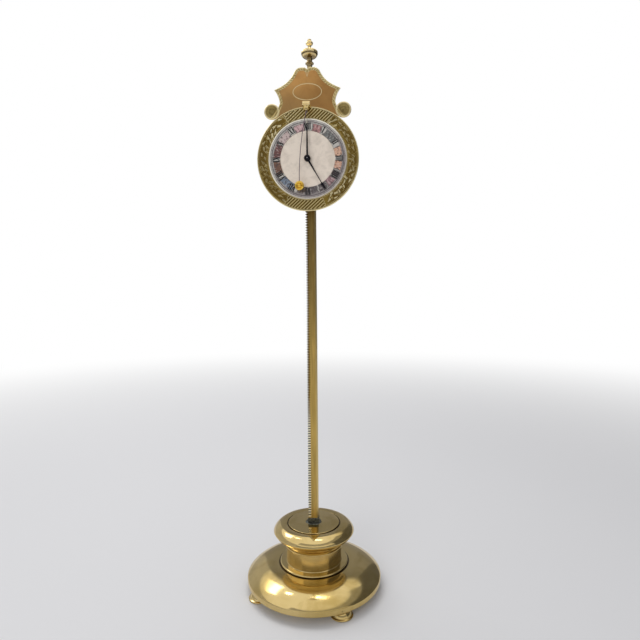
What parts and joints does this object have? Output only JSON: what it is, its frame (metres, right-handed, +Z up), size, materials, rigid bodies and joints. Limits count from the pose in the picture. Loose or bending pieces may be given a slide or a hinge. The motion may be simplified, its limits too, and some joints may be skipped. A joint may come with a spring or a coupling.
{
  "type": "rack clock",
  "caption": "Gravity clock whose round dial and movement slide down a toothed upright rack on a turned base, with a short pendulum swinging in front of the dial.",
  "frame": {"origin": "on the floor under the rack, at the centre of the four feet", "axes": "+Z up along the rack, the dial faces -Y, +X to the right seen from the front"},
  "size_m": [0.1444, 0.1444, 0.5744],
  "materials": {
    "polished_brass": "polished, warm",
    "dark_socket": "dark patina",
    "blued_steel": "blued, near black",
    "steel": "bright turned",
    "rack_brass": "satin with olive patina",
    "dial_plate_brass": "engraved satin",
    "crest_brass": "engraved, coppery field",
    "silvered_ring": "silvered, polished",
    "dial_white": "matte warm white",
    "gilt": "gilt, polished",
    "movement_brass": "satin"
  },
  "bodies": {
    "stand": {"feet": "polished_brass", "base_dish": "polished_brass", "bead_ring": "polished_brass", "neck": "polished_brass", "cove_cup": "polished_brass", "drum": "polished_brass", "cap_disc": "dark_socket", "socket_washer": "dark_socket", "rack_socket": "dark_socket", "tie_rod": "steel", "tie_nut": "steel", "rack_bar": "rack_brass", "finial": "polished_brass"},
    "carriage": {"dial_plate": "dial_plate_brass", "crest_plate": "crest_brass", "chapter_ring": "silvered_ring", "dial_centre": "dial_white", "dial_feet": "movement_brass", "front_plate": "movement_brass", "back_plate": "movement_brass", "pillars": "movement_brass", "centre_stud": "movement_brass", "pendulum_cock": "gilt", "upper_rack_guide": "movement_brass", "lower_rack_guide": "movement_brass", "rear_bridge": "movement_brass", "roller_stud": "steel"},
    "guide_roller": {"guide_roller": "steel"},
    "great_arbor": {"great_arbor": "steel", "ratchet_wheel": "steel"},
    "great_wheel": {"great_wheel": "movement_brass", "click_spring": "blued_steel"},
    "click": {"click": "blued_steel"},
    "motion_drive": {"motion_drive": "movement_brass"},
    "minute_work": {"cannon_pinion": "steel", "minute_hand": "blued_steel", "hand_nut": "blued_steel"},
    "hour_work": {"hour_wheel": "movement_brass", "hour_hand": "blued_steel"},
    "second_wheel": {"second_arbor": "steel", "second_wheel": "movement_brass"},
    "third_wheel": {"third_arbor": "steel", "third_wheel": "movement_brass"},
    "escape_wheel": {"escape_arbor": "steel", "escape_wheel": "movement_brass"},
    "pendulum": {"anchor": "steel", "pendulum_arbor": "steel", "pendulum_rod": "blued_steel", "pendulum_bob": "gilt"}
  },
  "joints": [
    {"name": "carriage_slide", "type": "slide", "parent": "stand", "child": "carriage", "axis": [0, 0, 1], "range_m": [-0.32, 0]},
    {"name": "great_arbor_turn", "type": "hinge", "parent": "carriage", "child": "great_arbor", "pos_m": [-0.00966, 0, 0.45612], "axis": [0, 1, 0], "continuous": true},
    {"name": "great_wheel_turn", "type": "hinge", "parent": "carriage", "child": "great_wheel", "pos_m": [-0.00966, 0, 0.45612], "axis": [0, 1, 0], "continuous": true},
    {"name": "motion_drive_turn", "type": "hinge", "parent": "carriage", "child": "motion_drive", "pos_m": [-0.00966, 0, 0.45612], "axis": [0, 1, 0], "continuous": true},
    {"name": "minute_hand_turn", "type": "hinge", "parent": "carriage", "child": "minute_work", "pos_m": [0, 0, 0.449], "axis": [0, 1, 0], "continuous": true},
    {"name": "hour_hand_turn", "type": "hinge", "parent": "carriage", "child": "hour_work", "pos_m": [0, 0, 0.449], "axis": [0, 1, 0], "continuous": true},
    {"name": "second_wheel_turn", "type": "hinge", "parent": "carriage", "child": "second_wheel", "pos_m": [0.00854, 0, 0.45999], "axis": [0, 1, 0], "continuous": true},
    {"name": "third_wheel_turn", "type": "hinge", "parent": "carriage", "child": "third_wheel", "pos_m": [0.01047, 0, 0.47386], "axis": [0, 1, 0], "continuous": true},
    {"name": "escape_wheel_turn", "type": "hinge", "parent": "carriage", "child": "escape_wheel", "pos_m": [0, 0, 0.48087], "axis": [0, 1, 0], "continuous": true},
    {"name": "guide_roller_turn", "type": "hinge", "parent": "carriage", "child": "guide_roller", "pos_m": [0.00938, 0, 0.45612], "axis": [0, 1, 0], "continuous": true},
    {"name": "click_lift", "type": "hinge", "parent": "great_wheel", "child": "click", "pos_m": [-0.01129, 0, 0.46538], "axis": [0, 1, 0], "range_deg": [-12, 0]},
    {"name": "pendulum_swing", "type": "hinge", "parent": "carriage", "child": "pendulum", "pos_m": [0, 0, 0.4936], "axis": [0, 1, 0], "range_deg": [-8.8, 0]}
  ],
  "couplings": [
    {"joint": "great_arbor_turn", "follows": "carriage_slide", "rad_per_m": 193.93},
    {"joint": "great_wheel_turn", "follows": "carriage_slide", "rad_per_m": 193.93},
    {"joint": "motion_drive_turn", "follows": "carriage_slide", "rad_per_m": 193.93},
    {"joint": "minute_hand_turn", "follows": "carriage_slide", "rad_per_m": -581.78},
    {"joint": "hour_hand_turn", "follows": "carriage_slide", "rad_per_m": -48.481},
    {"joint": "second_wheel_turn", "follows": "carriage_slide", "rad_per_m": -1810},
    {"joint": "third_wheel_turn", "follows": "carriage_slide", "rad_per_m": 15083},
    {"joint": "escape_wheel_turn", "follows": "carriage_slide", "rad_per_m": -125690},
    {"joint": "guide_roller_turn", "follows": "carriage_slide", "rad_per_m": -250}
  ]
}
